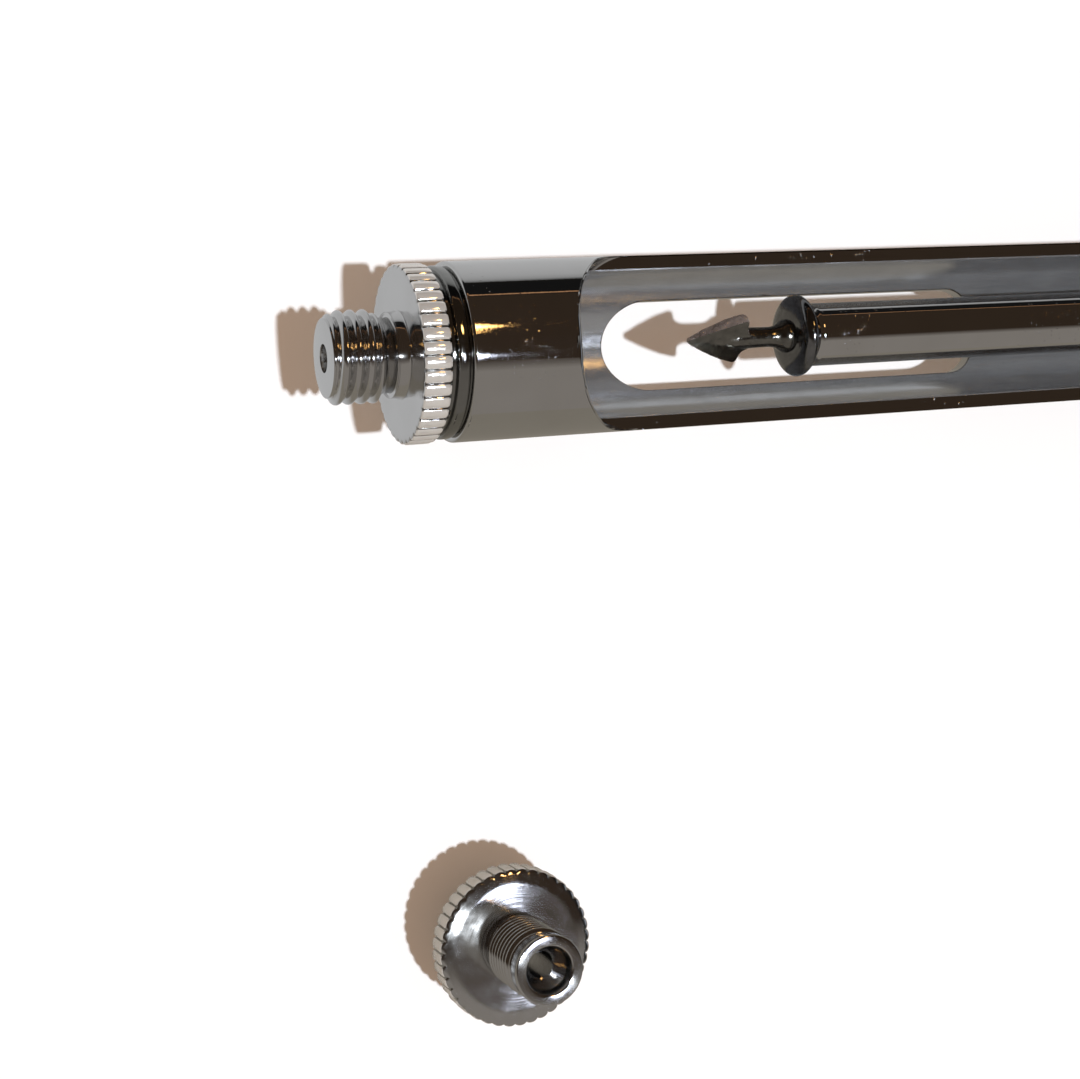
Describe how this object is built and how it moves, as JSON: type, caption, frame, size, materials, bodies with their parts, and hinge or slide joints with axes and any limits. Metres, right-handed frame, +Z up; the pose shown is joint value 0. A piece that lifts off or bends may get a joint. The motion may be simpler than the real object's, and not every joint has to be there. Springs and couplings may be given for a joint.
{
  "type": "dental cartridge syringe",
  "caption": "Chrome side-loading dental cartridge syringe: slotted barrel, harpoon plunger, finger grip, swivelling thumb ring, knurled needle adaptor, and a loose spare adaptor beside it.",
  "frame": {"origin": "on the resting plane, at the middle of the finger grip's flat underside", "axes": "+X along the syringe from the needle end to the thumb ring, +Z up through the loading window"},
  "size_m": [0.1486, 0.0718, 0.018],
  "materials": {
    "chrome": "mirror-polished chrome plate",
    "satin_chrome": "satin chrome",
    "spring_steel": "bright drawn spring steel",
    "dark_steel": "dark burnished steel with machining marks",
    "brass": "turned brass",
    "rubber": "black rubber"
  },
  "bodies": {
    "barrel_body": {"nose_bush": "chrome", "barrel": "chrome", "guide_stop_screw": "satin_chrome", "return_spring": "spring_steel", "spring_washer": "spring_steel", "finger_grip": "chrome", "grip_ring_nut": "chrome", "end_cap": "chrome", "rod_bush": "brass", "rod_o_ring": "rubber", "gland_nut": "satin_chrome"},
    "plunger": {"harpoon": "dark_steel", "piston_head": "dark_steel", "piston_rod": "chrome", "bumper_ring": "rubber", "ring_ferrule": "chrome", "ferrule_pin": "satin_chrome", "swivel_nut": "chrome"},
    "swivel_ring": {"thumb_ring": "chrome"},
    "guide": {"guide_bearing": "chrome"},
    "front_adaptor": {"needle_adaptor": "chrome"},
    "loose_adaptor": {"spare_adaptor": "chrome"}
  },
  "joints": [
    {"name": "plunger_slide", "type": "slide", "parent": "barrel_body", "child": "plunger", "axis": [1, 0, 0], "range_m": [-0.006, 0.053]},
    {"name": "ring_swivel", "type": "hinge", "parent": "plunger", "child": "swivel_ring", "pos_m": [0.0311, 0, 0.009], "axis": [1, 0, 0], "continuous": true},
    {"name": "guide_slide", "type": "slide", "parent": "barrel_body", "child": "guide", "axis": [1, 0, 0], "range_m": [0, 0.0042], "stiffness_N_per_m": 1500, "springref_m": -0.001, "deforming": ["return_spring"]},
    {"name": "adaptor_unscrew", "type": "slide", "parent": "barrel_body", "child": "front_adaptor", "axis": [-1, 0, 0], "range_m": [0, 0.01]},
    {"name": "spare_lift", "type": "slide", "parent": "barrel_body", "child": "loose_adaptor", "axis": [0, 0, 1], "range_m": [0, 0.03]}
  ]
}
